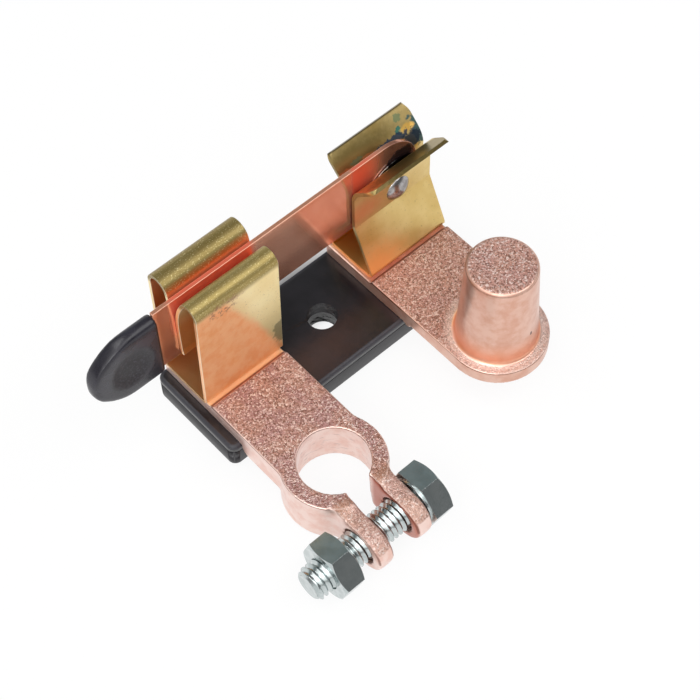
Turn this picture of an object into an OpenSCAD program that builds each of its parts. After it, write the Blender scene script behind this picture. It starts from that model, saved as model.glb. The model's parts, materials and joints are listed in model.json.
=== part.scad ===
// Knife-blade battery disconnect switch for a top-post battery.
// Millimetres, Z up. The origin is the centre of the base's screw hole, on the underside.
// X runs from the handle to the hinge. Both terminal arms reach out towards -Y.

/* [Base] */
// Length of the moulded base
base_l = 76; // [74:1:90]
// Width of the moulded base
base_w = 26.8; // [25:0.2:40]
// Thickness of the moulded base
base_t = 7.5; // [6:0.5:12]
// Radius of the upright corners of the base
base_corner_r = 2; // [1:0.5:6]
// Diameter of the screw hole in the middle of the base
base_hole_d = 7.2; // [4:0.2:9]
// Depth of the parting groove round the side of the base
groove_depth = 0.25; // [0.1:0.05:0.8]
// Height of the parting groove
groove_h = 0.3; // [0.2:0.05:1]
// Distance of the parting groove below the top face
groove_drop = 2; // [1:0.25:3]

/* [Arms] */
// Distance between the centre lines of the two terminal arms
arm_pitch = 49.4; // [48:0.2:52]
// Thickness of both arms where they lie on the base
arm_t = 4.3; // [3:0.1:6]
// Distance from the clips' mid-plane to the rear end of the arms
arm_tail = 7.7; // [7.6:0.1:8]
// Depth of the seat that each clip stands in
seat_depth = 0.9; // [0.4:0.1:1.4]

/* [Clamp arm] */
// Width of the clamp arm
clamp_arm_w = 21.6; // [18:0.2:23]
// Thickness of the clamp arm between the base and the ring
clamp_arm_t = 7.4; // [6:0.1:9]
// Distance from the clips' mid-plane to the front edge of the jaw clip's seat
jaw_seat_reach = 8; // [7.8:0.1:10]
// Length of the slope up from the jaw clip's seat
jaw_seat_slope = 1.3; // [0.5:0.1:2.5]
// Radius of the shoulder that hooks over the front of the base
shoulder_r = 2.4; // [1:0.1:3]
// Distance from the screw hole to the centre of the ring
ring_reach = 31.9; // [31:0.1:36]
// Outer radius of the ring
ring_r = 12; // [11.6:0.1:14]
// Height of the ring
ring_h = 12.8; // [11.6:0.1:15]
// Radius of the tapered bore at its upper rim
bore_top_r = 8.15; // [7.6:0.05:8.8]
// Growth of the bore's diameter for each millimetre of depth
post_taper = 0.111; // [0.08:0.001:0.14]
// Radius of the hollow where the arm runs into the ring
waist_r = 6; // [3:0.5:10]
// Width of the gap that splits the ring
ear_gap = 6.4; // [5:0.2:8]
// Thickness of each ear
ear_t = 4.7; // [3:0.1:5]
// Radius of the round end of each ear
ear_r = 5.8; // [5.4:0.1:5.9]
// Distance from the bolt to the centre of the ears' round end
ear_nose = 1.2; // [0:0.1:2.5]
// Distance of the ears' middle below the middle of the ring
ear_drop = 0.2; // [0:0.1:0.5]
// Distance from the ring's centre to the start of the slope on the ears
ear_root = 7.8; // [7:0.1:9]
// Length of the slope down to the top of the ears
ear_slope = 2.5; // [1:0.1:4]
// Clearance round the bolt in the ears
bolt_play = 0.5; // [0.2:0.1:0.8]

/* [Post arm] */
// Width of the post arm and of its round end
post_arm_w = 24; // [22:0.2:24]
// Distance from the screw hole to the centre of the post
post_reach = 31.4; // [31:0.1:36]
// Rise of the underside where the arm leaves the base
free_lift = 0.4; // [0:0.1:1]
// Distance from the clips' mid-plane to the front edge of the hinge clip's seat
hinge_seat_reach = 7.6; // [7.6:0.1:9]
// Length of the slope up from the hinge clip's seat
hinge_seat_slope = 0.6; // [0.4:0.1:2]
// Radius of the lug under the arm that locks against the base
lug_r = 1.3; // [0.8:0.1:1.8]
// Depth that the lug reaches below the top of the base
lug_depth = 0.6; // [0.3:0.1:1]
// Radius of the post at its top
post_top_r = 8.05; // [7.6:0.05:8.4]
// Height of the post above its arm
post_h = 24.6; // [18:0.2:28]
// Radius of the rounded rim of the post
post_rim_r = 0.9; // [0.3:0.1:2]
// Radius of the hollow at the foot of the post
post_fillet_r = 1.4; // [0.5:0.1:1.6]

/* [Clips] */
// Distance of the clips' mid-plane behind the screw hole
clip_y = 5.2; // [5:0.1:5.6]
// Thickness of the brass sheet
sheet_t = 0.9; // [0.6:0.05:1.1]
// Inside radius of the corners between floor and walls
floor_bend_r = 0.6; // [0.3:0.1:1.2]

/* [Jaw clip] */
// Length of the jaw clip along the blade
jaw_l = 22.2; // [18:0.2:23]
// Outer width of the jaw clip at its floor
jaw_w = 15.2; // [13:0.2:15.2]
// Outer height of the jaw clip
jaw_h = 35.8; // [34:0.2:38]
// Outward lean of the front wall in degrees
jaw_front_lean = 1.5; // [0:0.1:2]
// Outward lean of the rear wall in degrees
jaw_rear_lean = 0; // [0:0.1:2]
// Inside radius of the roll on the front wall
front_roll_r = 1.75; // [1.5:0.05:2.2]
// Inside radius of the roll on the rear wall
rear_roll_r = 2.35; // [2:0.05:2.6]
// Slope of the front leaf below its roll in degrees
front_leaf_slope = 27; // [20:1:30]
// Slope of the rear leaf below its roll in degrees
rear_leaf_slope = 10; // [8:1:16]
// Inside radius of the bow that brings a leaf on to the blade
leaf_bow_r = 20; // [10:1:22]
// Height of the leaves' free ends above the seat
leaf_end_h = 13.6; // [13:0.2:18]
// Outward flare of the leaves' free ends in degrees
leaf_flare = 14; // [5:1:20]
// Length of the flare on a leaf's free end
leaf_flare_l = 1.6; // [1:0.1:3]
// Clearance between each leaf and the blade
jaw_play = 0.1; // [0.05:0.01:0.3]

/* [Hinge clip] */
// Length of the hinge clip along the blade
hinge_l = 23; // [20:0.2:23.4]
// Outer width of the hinge clip at its floor
hinge_w = 14.4; // [13:0.2:15]
// Distance of the hinge clip's outer end inside the outer side of its arm
hinge_inset = 0; // [0:0.1:1]
// Inward lean of the legs in degrees
leg_lean = 24.5; // [22:0.5:28]
// Inside radius of the crease above the legs
crease_r = 0.8; // [0.4:0.1:1.6]
// Height of the upright stretch that carries the rivet
grip_run = 9; // [8.6:0.2:11]
// Outward flare of the lips in degrees
lip_flare = 46; // [40:1:50]
// Inside radius of the curve into each lip
lip_bend_r = 5.5; // [3:0.5:7]
// Length of the straight stretch of each lip
lip_run = 6.2; // [4:0.2:7]
// Corner radius of the lips
lip_corner_r = 2.1; // [0.5:0.1:3]

/* [Blade] */
// Thickness of the copper blade
blade_t = 1; // [0.8:0.1:1.4]
// Height of the copper blade
blade_h = 19.8; // [18:0.2:20.4]
// Height of the blade's lower edge above the clips' seat
blade_lift = 12.7; // [12.5:0.1:13.2]
// Distance from the rivet to the blade's round end
blade_tail = 6.8; // [6:0.1:7]
// Height of the rivet above the blade's lower edge
pivot_rise = 4.9; // [4.5:0.1:5.2]
// Offset of the rivet from the middle of the hinge clip
pivot_shift = 1.5; // [0:0.1:2]
// Clearance between the blade and the rear wall of the hinge clip
side_play = 0.08; // [0.05:0.01:0.2]
// Radial clearance between the rivet and the blade
pivot_play = 0.05; // [0.02:0.01:0.1]

/* [Handle grip] */
// Length of the dipped grip
grip_l = 17.9; // [15:0.1:24]
// Distance between the jaw clip and the grip
mouth_gap = 5.1; // [3:0.1:12]
// Thickness of the vinyl past the end and the edges of the blade's tongue
grip_wall = 1.2; // [0.8:0.1:2]
// Thickness of the grip across the blade
grip_t = 3.8; // [3.4:0.1:6]
// Radius of the rounded edges of the grip
grip_round = 1.7; // [0.8:0.1:1.7]
// Radius of the grip's nose
grip_nose_r = 7.2; // [5:0.1:9]
// Radius of the long curves that run from the nose into the grip's edges
grip_side_r = 15; // [11:0.5:30]
// Offset of the grip from the blade towards the front
grip_shift = 0.4; // [0:0.1:0.8]

/* [Hinge rivet] */
// Diameter of the rivet's shank
pivot_d = 4; // [3:0.1:5]
// Diameter of the domed head
pivot_head_d = 6.8; // [6:0.1:8]
// Height of the domed head
pivot_head_h = 1.6; // [1:0.1:2.2]
// Height of the head formed on the rear end
pivot_tail_h = 1.2; // [0.8:0.1:2]
// Outer diameter of the spring washer
spring_d = 17.6; // [10:0.2:18]
// Sheet thickness of the spring washer
spring_t = 0.2; // [0.15:0.05:0.3]
// Dish of the spring washer as fitted
spring_dish = 0.1; // [0.05:0.05:0.2]
// Clearance between the spring washer and the blade
spring_play = 0.05; // [0.02:0.01:0.1]

/* [Clip rivets] */
// Diameter of the rivets that hold clip, arm and base together
rivet_d = 5; // [4:0.1:6]
// Diameter of their domed heads on the clip floors
rivet_head_d = 9; // [8:0.1:9.4]
// Height of their domed heads
rivet_head_h = 1.8; // [1.2:0.1:2]
// Clearance round the rivets in the plates
rivet_play = 0.1; // [0.05:0.01:0.2]
// Diameter of the round recesses under the base
recess_d = 11.5; // [11.4:0.1:13]
// Depth of the round recesses under the base
recess_depth = 3; // [2.8:0.1:3.6]
// Diameter of the washers in the recesses
rivet_washer_d = 10.8; // [9:0.1:11.2]
// Thickness of the washers in the recesses
rivet_washer_t = 1; // [0.8:0.1:1.2]
// Height of the formed heads on the washers
rivet_tail_h = 1.4; // [1:0.1:1.6]
// Diameter of the formed heads on the washers
rivet_tail_d = 8; // [7:0.1:8.8]

/* [Bolt and nut] */
// Outer diameter of the clamp bolt's thread
bolt_d = 8; // [6:0.5:8]
// Length of the clamp bolt under its head
bolt_l = 30; // [28:0.5:36]
// Width of the bolt's head and the nut across their flats
hex_flats = 13; // [12:0.5:14]
// Height of the bolt's head with its washer face
bolt_head_h = 5.7; // [4:0.1:6]
// Height of the round washer face under the bolt's head
head_face_h = 0.4; // [0.2:0.1:0.6]
// Diameter of the round washer face under the bolt's head
head_face_d = 11.6; // [11:0.1:12.4]
// Height of the nut
nut_h = 5.6; // [4:0.1:6.8]
// Distance between the nut and the ear beside it
nut_gap = 4; // [1:0.1:5]
// Radial clearance between the nut and the bolt
thread_play = 0.05; // [0.02:0.01:0.1]
// Clearance under the bolt's head
head_play = 0.1; // [0.05:0.01:0.2]
// Clearance between the corners of the bolt's head and the ring
corner_play = 0.17; // [0.1:0.01:0.5]
// Turn of the hexagons about the bolt in degrees
hex_turn = 47.4; // [0:0.1:60]

/* [Hidden] */
$fn = 96;
// Extra length of a tool solid where it breaks through a face
cut = 1;
// Small overlap of outlines that would otherwise only touch
lap = 0.02;

clamp_x = -arm_pitch / 2;
post_x = arm_pitch / 2;
arm_top = base_t + arm_t;
seat_z = arm_top - seat_depth;
arm_rear = clip_y + arm_tail;
base_front = -base_w / 2;

ring_bottom = arm_top - ring_h;
ear_face = ear_gap / 2 + ear_t;
hex_corner_d = hex_flats / cos(30);
// The bolt lies as near to the ring as the corners of its head can turn past it
hex_side = ear_face + head_play + head_face_h;
bolt_reach = sqrt(pow(ring_r, 2) - pow(hex_side, 2)) + hex_corner_d / 2 + corner_play;
bolt_y = -ring_reach - bolt_reach;
bolt_z = arm_top - ring_h / 2;
head_x = clamp_x + ear_face + head_play;
nut_x = clamp_x - ear_face - nut_gap;
// Height lost at the corners of a hexagon chamfered at 30 degrees
hex_chamfer = (hex_corner_d - hex_flats) / 2 * tan(30);
bolt_point = bolt_d / 10;

spring_space = spring_t + spring_dish + spring_play;
hinge_slot = spring_space + blade_t + side_play;
// The spring washer pushes the blade off the clips' mid-plane towards the rear
blade_off = hinge_slot / 2 - side_play - blade_t / 2;
blade_y = clip_y + blade_off;
blade_bottom = seat_z + blade_lift;
blade_end_r = blade_h / 2;
hinge_shift = (post_arm_w - hinge_l) / 2 - hinge_inset;
hinge_x = post_x + hinge_shift;
pivot_x = hinge_x + pivot_shift;
pivot_z = blade_bottom + pivot_rise;

grip_mouth_x = clamp_x - jaw_l / 2 - mouth_gap;
grip_end_x = grip_mouth_x - grip_l;
// The vinyl brings the narrower tongue back to the full height of the blade
tongue_h = blade_h - 2 * grip_wall;
grip_nose_run = sqrt(pow(grip_side_r - grip_nose_r, 2) - pow(grip_side_r - blade_end_r, 2));

// Radius of a bend along the middle of the sheet, from its inside radius
function mid_r(inside_r) = inside_r + sheet_t / 2;

// Extrudes a side view, drawn with Y across and Z up, along X from the origin
module along_x(length) {
    rotate([90, 0, 90]) linear_extrude(height = length) children();
}

// Extrudes a front view, drawn with X across and Z up, along Y, centred on the origin
module across_y(length) {
    translate([0, length / 2, 0]) rotate([90, 0, 0]) linear_extrude(height = length) children();
}

module rounded_rect(length, width, radius) {
    square([length - 2 * radius, width], center = true);
    square([length, width - 2 * radius], center = true);
    for (x = [-1, 1], y = [-1, 1])
        translate([x * (length / 2 - radius), y * (width / 2 - radius)]) circle(r = radius);
}

// Cap of a sphere, given by the radius of its foot and its height, for turning about the axis
module dome_2d(foot_r, height) {
    sphere_r = (foot_r * foot_r + height * height) / (2 * height);
    intersection() {
        translate([0, height - sphere_r]) circle(r = sphere_r);
        square([foot_r, height]);
    }
}

// One bend of the sheet: it starts at the origin along X and turns left by a positive angle
module sheet_bend(turn, radius) {
    angle = abs(turn);
    far = 3 * (radius + sheet_t);
    mirror([0, turn < 0 ? 1 : 0]) translate([0, radius]) intersection() {
        difference() {
            circle(r = radius + sheet_t / 2);
            circle(r = radius - sheet_t / 2);
        }
        rotate(-90) polygon([[0, 0], [far, 0], far * [cos(angle / 2), sin(angle / 2)] / cos(angle / 2),
            far * [cos(angle), sin(angle)]]);
    }
}

// Edge view of a folded strip. Each step is a straight run, the turn after it and that turn's radius
module folded_strip(steps, i = 0) {
    run = steps[i][0];
    turn = steps[i][1];
    radius = steps[i][2];
    if (run > 0) translate([-lap, -sheet_t / 2]) square([run + 2 * lap, sheet_t]);
    if (turn != 0) translate([run, 0]) sheet_bend(turn, radius);
    if (i < len(steps) - 1)
        translate([run + radius * sin(abs(turn)), sign(turn) * radius * (1 - cos(turn))])
            rotate(turn) folded_strip(steps, i + 1);
}

module base_plate() color("#1f1d20") difference() {
    linear_extrude(height = base_t) rounded_rect(base_l, base_w, base_corner_r);
    translate([0, 0, -cut]) cylinder(d = base_hole_d, h = base_t + 2 * cut);
    translate([0, 0, base_t - groove_drop - groove_h / 2]) linear_extrude(height = groove_h) difference() {
        square([base_l + 2 * cut, base_w + 2 * cut], center = true);
        rounded_rect(base_l - 2 * groove_depth, base_w - 2 * groove_depth, base_corner_r - groove_depth);
    }
    for (x = [clamp_x, hinge_x]) translate([x, clip_y, 0]) {
        rivet_hole(-cut, base_t + cut);
        translate([0, 0, -cut]) cylinder(d = recess_d, h = recess_depth + cut);
    }
}

module rivet_hole(bottom, top) {
    translate([0, 0, bottom]) cylinder(d = rivet_d + 2 * rivet_play, h = top - bottom);
}

// Side view of the recess that a clip stands in, with the slope at its front
module seat_2d(reach, slope) {
    front = clip_y - reach;
    polygon([[arm_rear + cut, seat_z], [front, seat_z], [front - slope, arm_top],
        [front - slope, arm_top + cut], [arm_rear + cut, arm_top + cut]]);
}

// Plan of the clamp arm about its own centre line, with hollow waists running into the ring.
// The waists' circles lap over the ring, because two circles that only touch leave a sliver
module clamp_plan() {
    half = clamp_arm_w / 2;
    rise = sqrt(pow(ring_r + waist_r, 2) - pow(half + waist_r, 2)) - lap;
    difference() {
        union() {
            translate([-half, -ring_reach]) square([clamp_arm_w, ring_reach + arm_rear]);
            translate([0, -ring_reach]) polygon([[0, 0], [half + waist_r, rise], [-half - waist_r, rise]]);
        }
        for (side = [-1, 1]) translate([side * (half + waist_r), rise - ring_reach]) circle(r = waist_r);
    }
}

// Side view of the clamp arm: a tongue over the base, then a deeper bar with a round shoulder
module clamp_side() {
    bar_bottom = arm_top - clamp_arm_t;
    difference() {
        union() {
            translate([-ring_reach, base_t]) square([ring_reach + arm_rear, arm_t]);
            translate([-ring_reach, bar_bottom])
                square([ring_reach + base_front - shoulder_r, clamp_arm_t]);
            translate([-ring_reach, bar_bottom + shoulder_r])
                square([ring_reach + base_front, clamp_arm_t - shoulder_r]);
            translate([base_front - shoulder_r, bar_bottom + shoulder_r]) circle(r = shoulder_r);
        }
        seat_2d(jaw_seat_reach, jaw_seat_slope);
    }
}

// Side view of an ear: it slopes down from the ring and ends in a half circle beyond the bolt
module ear_2d() {
    root = -ring_reach - ear_root;
    nose = bolt_y - ear_nose;
    middle = bolt_z - ear_drop;
    translate([nose, middle]) circle(r = ear_r);
    polygon([[-ring_reach - bore_top_r / 2, arm_top], [root, arm_top], [root - ear_slope, middle + ear_r],
        [nose, middle + ear_r], [nose, middle - ear_r], [root - ear_slope, middle - ear_r],
        [root, ring_bottom], [-ring_reach - bore_top_r / 2, ring_bottom]]);
}

// The bore widens downwards, as the battery post does
module post_bore() {
    bottom_r = bore_top_r + ring_h * post_taper / 2;
    spread = cut * post_taper / 2;
    translate([0, -ring_reach, ring_bottom - cut])
        cylinder(r1 = bottom_r + spread, r2 = bore_top_r - spread, h = ring_h + 2 * cut);
}

module clamp_arm() color("#c08a75") translate([clamp_x, 0, 0]) difference() {
    union() {
        intersection() {
            translate([0, 0, ring_bottom]) linear_extrude(height = ring_h) clamp_plan();
            translate([-ring_r * 2, 0, 0]) along_x(ring_r * 4) clamp_side();
        }
        translate([0, -ring_reach, ring_bottom]) cylinder(r = ring_r, h = ring_h);
        translate([-ear_face, 0, 0]) along_x(2 * ear_face) ear_2d();
    }
    post_bore();
    translate([-ear_gap / 2, bolt_y - ear_nose - 2 * ear_r, ring_bottom - cut])
        cube([ear_gap, bolt_reach + ear_nose + 2 * ear_r, ring_h + 2 * cut]);
    translate([-ear_face - cut, bolt_y, bolt_z]) rotate([0, 90, 0])
        cylinder(d = bolt_d + 2 * bolt_play, h = 2 * (ear_face + cut));
    translate([0, clip_y, 0]) rivet_hole(base_t - cut, arm_top + cut);
}

// Side view of the post arm: flat on the base, with a small round lug against the base's front edge
module post_side() {
    reach = post_reach + post_arm_w / 2;
    difference() {
        union() {
            translate([base_front, base_t]) square([arm_rear - base_front, arm_t]);
            translate([-reach, base_t + free_lift]) square([reach + base_front, arm_t - free_lift]);
            translate([base_front - 2 * lug_r, base_t - lug_depth + lug_r])
                square([2 * lug_r, arm_t - lug_r]);
            translate([base_front - lug_r, base_t - lug_depth + lug_r]) circle(r = lug_r);
        }
        seat_2d(hinge_seat_reach, hinge_seat_slope);
    }
}

// Half section of the tapered post, with its rounded rim and the hollow at its foot
module post_2d() {
    foot_r = post_top_r + post_h * post_taper / 2;
    fillet_at = foot_r - post_fillet_r * post_taper / 2 + post_fillet_r;
    rim_z = post_h - post_rim_r;
    sunk = arm_t / 2;
    translate([0, -sunk]) square([foot_r, sunk]);
    polygon([[0, 0], [foot_r, 0], [post_top_r, rim_z], [0, rim_z]]);
    translate([0, rim_z]) square([post_top_r - post_rim_r, post_rim_r]);
    translate([post_top_r - post_rim_r, rim_z]) circle(r = post_rim_r);
    difference() {
        translate([0, -sunk]) square([fillet_at, sunk + post_fillet_r]);
        translate([fillet_at, post_fillet_r]) circle(r = post_fillet_r);
    }
}

module post_arm() color("#c08a75") translate([post_x, 0, 0]) difference() {
    union() {
        intersection() {
            linear_extrude(height = arm_top + cut) union() {
                translate([-post_arm_w / 2, -post_reach]) square([post_arm_w, post_reach + arm_rear]);
                translate([0, -post_reach]) circle(d = post_arm_w);
            }
            translate([-post_arm_w, 0, 0]) along_x(2 * post_arm_w) post_side();
        }
        translate([0, -post_reach, arm_top]) rotate_extrude() post_2d();
    }
    translate([hinge_shift, clip_y, 0]) rivet_hole(base_t - cut, arm_top + cut);
}

// Half of the jaw clip, from the middle of its floor: floor, wall, roll, sloping leaf, contact, flare
module jaw_half(lean, roll_inside_r, slope, contact_u) {
    corner_r = mid_r(floor_bend_r);
    roll_r = mid_r(roll_inside_r);
    bow_r = mid_r(leaf_bow_r);
    flare_r = mid_r(floor_bend_r);
    floor_run = jaw_w / 2 - sheet_t / 2 - corner_r;
    corner_top = sheet_t / 2 + corner_r * (1 - cos(90 - lean));
    roll_base = jaw_h - sheet_t / 2 - roll_r * cos(lean) - roll_r * (1 - cos(lean));
    wall_run = (roll_base - corner_top) / cos(lean);
    wall_top_u = floor_run + corner_r * sin(90 - lean) + wall_run * sin(lean);
    roll_exit_u = wall_top_u - roll_r * cos(lean) - roll_r * cos(slope);
    roll_exit_h = roll_base + roll_r * sin(lean) + roll_r * sin(slope);
    leaf_u = contact_u + sheet_t / 2;
    slope_run = (roll_exit_u - leaf_u - bow_r * (1 - cos(slope))) / sin(slope);
    bow_end_h = roll_exit_h - slope_run * cos(slope) - bow_r * sin(slope);
    flare_h = flare_r * sin(leaf_flare) + leaf_flare_l * cos(leaf_flare);
    contact_run = bow_end_h - leaf_end_h - flare_h;
    translate([0, sheet_t / 2]) folded_strip([
        [floor_run, 90 - lean, corner_r],
        [wall_run, 180 + lean - slope, roll_r],
        [slope_run, slope, bow_r],
        [contact_run, leaf_flare, flare_r],
        [leaf_flare_l, 0, 0]]);
}

module jaw_clip() color("#d9b45c") difference() {
    translate([clamp_x - jaw_l / 2, clip_y, seat_z]) along_x(jaw_l) union() {
        jaw_half(jaw_rear_lean, rear_roll_r, rear_leaf_slope, blade_t / 2 + jaw_play + blade_off);
        mirror([1, 0]) jaw_half(jaw_front_lean, front_roll_r, front_leaf_slope,
            blade_t / 2 + jaw_play - blade_off);
    }
    translate([clamp_x, clip_y, 0]) rivet_hole(seat_z - cut, seat_z + sheet_t + cut);
}

// Half of the hinge clip, from the middle of its floor: floor, leaning leg, upright, flared lip
module hinge_half() {
    corner_r = mid_r(floor_bend_r);
    fold_r = mid_r(crease_r);
    floor_run = hinge_w / 2 - sheet_t / 2 - corner_r;
    leg_foot_u = floor_run + corner_r * cos(leg_lean);
    leg_run = (leg_foot_u - fold_r * (1 - cos(leg_lean)) - hinge_slot / 2 - sheet_t / 2) / sin(leg_lean);
    translate([0, sheet_t / 2]) folded_strip([
        [floor_run, 90 + leg_lean, corner_r],
        [leg_run, -leg_lean, fold_r],
        [grip_run, -lip_flare, mid_r(lip_bend_r)],
        [lip_run, 0, 0]]);
}

// Front view of the room that the lips keep inside, with rounded upper corners
module lip_outline() {
    height = 2 * jaw_h;
    top = hinge_top();
    translate([0, top - height / 2]) rounded_rect(hinge_l, height, lip_corner_r);
}

// Height of the lips' free edges above the seat
function hinge_top() =
    let (corner_r = mid_r(floor_bend_r), fold_r = mid_r(crease_r), bend_r = mid_r(lip_bend_r))
    let (foot_u = hinge_w / 2 - sheet_t / 2 - corner_r * (1 - cos(leg_lean)))
    let (leg_run = (foot_u - fold_r * (1 - cos(leg_lean)) - hinge_slot / 2 - sheet_t / 2) / sin(leg_lean))
    sheet_t / 2 + corner_r * (1 + sin(leg_lean)) + leg_run * cos(leg_lean) + fold_r * sin(leg_lean)
        + grip_run + bend_r * sin(lip_flare) + lip_run * cos(lip_flare) + sheet_t / 2 * sin(lip_flare);

module hinge_clip() color("#cfae5e") difference() {
    intersection() {
        translate([hinge_x - hinge_l / 2, clip_y, seat_z]) along_x(hinge_l) union() {
            hinge_half();
            mirror([1, 0]) hinge_half();
        }
        translate([hinge_x, clip_y, seat_z]) across_y(3 * hinge_w) lip_outline();
    }
    translate([hinge_x, clip_y, 0]) rivet_hole(seat_z - cut, seat_z + sheet_t + cut);
    translate([pivot_x, clip_y - hinge_w, pivot_z]) rotate([-90, 0, 0]) cylinder(d = pivot_d, h = 2 * hinge_w);
}

// Oval end of the grip and, inset by the vinyl's thickness, of the tongue in it, from the grip's end
module oval_end(inset) {
    side_x = grip_nose_r + grip_nose_run;
    nose_r = grip_nose_r - inset;
    meet_x = grip_nose_r - nose_r * grip_nose_run / (grip_side_r - grip_nose_r);
    translate([grip_nose_r, 0]) circle(r = nose_r);
    intersection() {
        translate([side_x, grip_side_r - blade_end_r]) circle(r = grip_side_r - inset);
        translate([side_x, blade_end_r - grip_side_r]) circle(r = grip_side_r - inset);
        translate([meet_x, inset - blade_end_r]) square([side_x - meet_x, blade_h - 2 * inset]);
    }
    translate([side_x, inset - blade_end_r]) square([grip_l - side_x, blade_h - 2 * inset]);
}

// The blade narrows at the grip's mouth to the oval tongue that the vinyl covers
module knife_blade() color("#c9775c") translate([pivot_x, blade_y, pivot_z]) across_y(blade_t) difference() {
    mouth = grip_mouth_x - pivot_x;
    union() {
        translate([blade_tail - blade_end_r, blade_end_r - pivot_rise]) circle(r = blade_end_r);
        translate([mouth, -pivot_rise]) square([blade_tail - blade_end_r - mouth, blade_h]);
        translate([mouth - lap, grip_wall - pivot_rise]) square([2 * lap, tongue_h]);
        translate([grip_end_x - pivot_x, blade_end_r - pivot_rise]) oval_end(grip_wall);
    }
    circle(d = pivot_d + 2 * pivot_play);
}

// The grip is a pad rounded in front view, in plan and across, with a pocket that fits the tongue
module handle_grip() color("#35333a") difference() {
    translate([grip_end_x, blade_y - grip_shift, blade_bottom + blade_end_r]) intersection() {
        across_y(grip_t) oval_end(0);
        along_x(grip_l) rounded_rect(grip_t, blade_h, grip_round);
        translate([0, 0, -blade_end_r]) linear_extrude(height = blade_h) union() {
            translate([grip_round, -grip_t / 2]) square([grip_l - grip_round, grip_t]);
            translate([grip_l / 2, 0]) rounded_rect(grip_l, grip_t, grip_round);
        }
    }
    knife_blade();
}

// Turned about the blade's pivot: a domed head in front, the shank, and the head formed at the rear
module hinge_rivet() color("#b9bcc0") {
    span = hinge_slot + 2 * sheet_t;
    translate([pivot_x, clip_y - span / 2, pivot_z]) rotate([-90, 0, 0]) rotate_extrude() {
        square([pivot_d / 2, span]);
        mirror([0, 1]) dome_2d(pivot_head_d / 2, pivot_head_h);
        translate([0, span]) dome_2d(pivot_head_d / 2, pivot_tail_h);
    }
}

// Dished washer: its outer rim bears on the front wall and its inner rim faces the blade
module spring_washer() color("#b0b3b6")
    translate([pivot_x, clip_y - hinge_slot / 2, pivot_z]) rotate([-90, 0, 0]) rotate_extrude()
        polygon([[pivot_d / 2 + pivot_play, spring_dish], [spring_d / 2, 0], [spring_d / 2, spring_t],
            [pivot_d / 2 + pivot_play, spring_dish + spring_t]]);

// A rivet stands on its washer in the base's recess and its dome lies on the clip's floor
module clip_rivet() {
    foot = recess_depth - rivet_washer_t;
    floor_top = seat_z + sheet_t;
    rotate_extrude() {
        translate([0, foot]) square([rivet_d / 2, floor_top - foot]);
        translate([0, floor_top]) dome_2d(rivet_head_d / 2, rivet_head_h);
        translate([0, foot]) mirror([0, 1]) dome_2d(rivet_tail_d / 2, rivet_tail_h);
    }
}

module rivet_washer() difference() {
    translate([0, 0, recess_depth - rivet_washer_t]) cylinder(d = rivet_washer_d, h = rivet_washer_t);
    rivet_hole(0, recess_depth + cut);
}

module jaw_rivet() color("#b9bcc0") translate([clamp_x, clip_y, 0]) clip_rivet();

module jaw_rivet_washer() color("#a9acb0") translate([clamp_x, clip_y, 0]) rivet_washer();

module hinge_clip_rivet() color("#b9bcc0") translate([hinge_x, clip_y, 0]) clip_rivet();

module hinge_clip_rivet_washer() color("#a9acb0") translate([hinge_x, clip_y, 0]) rivet_washer();

// Hexagon along X with the corners chamfered at 30 degrees on its outer end, or on both ends
module hexagon(height, both_ends) {
    tip = both_ends ? hex_chamfer : 0;
    rotate([90, 0, 90]) intersection() {
        rotate(hex_turn) cylinder(d = hex_corner_d, h = height, $fn = 6);
        rotate_extrude() polygon([[0, 0], [hex_flats / 2 + (both_ends ? 0 : hex_chamfer / tan(30)), 0],
            [hex_corner_d / 2, tip], [hex_corner_d / 2, height - hex_chamfer], [hex_flats / 2, height],
            [0, height]]);
    }
}

module clamp_bolt() color("#aab0b2") translate([head_x, bolt_y, bolt_z]) {
    translate([head_face_h, 0, 0]) hexagon(bolt_head_h - head_face_h, false);
    rotate([0, 90, 0]) cylinder(d = head_face_d, h = bolt_head_h / 2);
    rotate([0, -90, 0]) rotate_extrude()
        polygon([[0, -bolt_head_h / 2], [bolt_d / 2, -bolt_head_h / 2], [bolt_d / 2, bolt_l - bolt_point],
            [bolt_d / 2 - bolt_point, bolt_l], [0, bolt_l]]);
}

module clamp_nut() color("#aab0b2") translate([nut_x - nut_h, bolt_y, bolt_z]) difference() {
    hexagon(nut_h, true);
    translate([-cut, 0, 0]) rotate([0, 90, 0]) cylinder(d = bolt_d + 2 * thread_play, h = nut_h + 2 * cut);
}

base_plate();
clamp_arm();
post_arm();
jaw_clip();
hinge_clip();
knife_blade();
handle_grip();
hinge_rivet();
spring_washer();
jaw_rivet();
jaw_rivet_washer();
hinge_clip_rivet();
hinge_clip_rivet_washer();
clamp_bolt();
clamp_nut();
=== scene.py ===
# %% [markdown]
# # A knife-blade battery switch, dressed for the camera
# The CAD model already has every piece at its real size and place. This file gives each piece
# the edges, the skin and the colour that the real one has, and then lights and frames it.
# Everything is in metres. X runs from the handle to the hinge, and Z points up.

import json
import math

import bmesh
import bpy
from mathutils import Matrix, Vector


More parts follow.
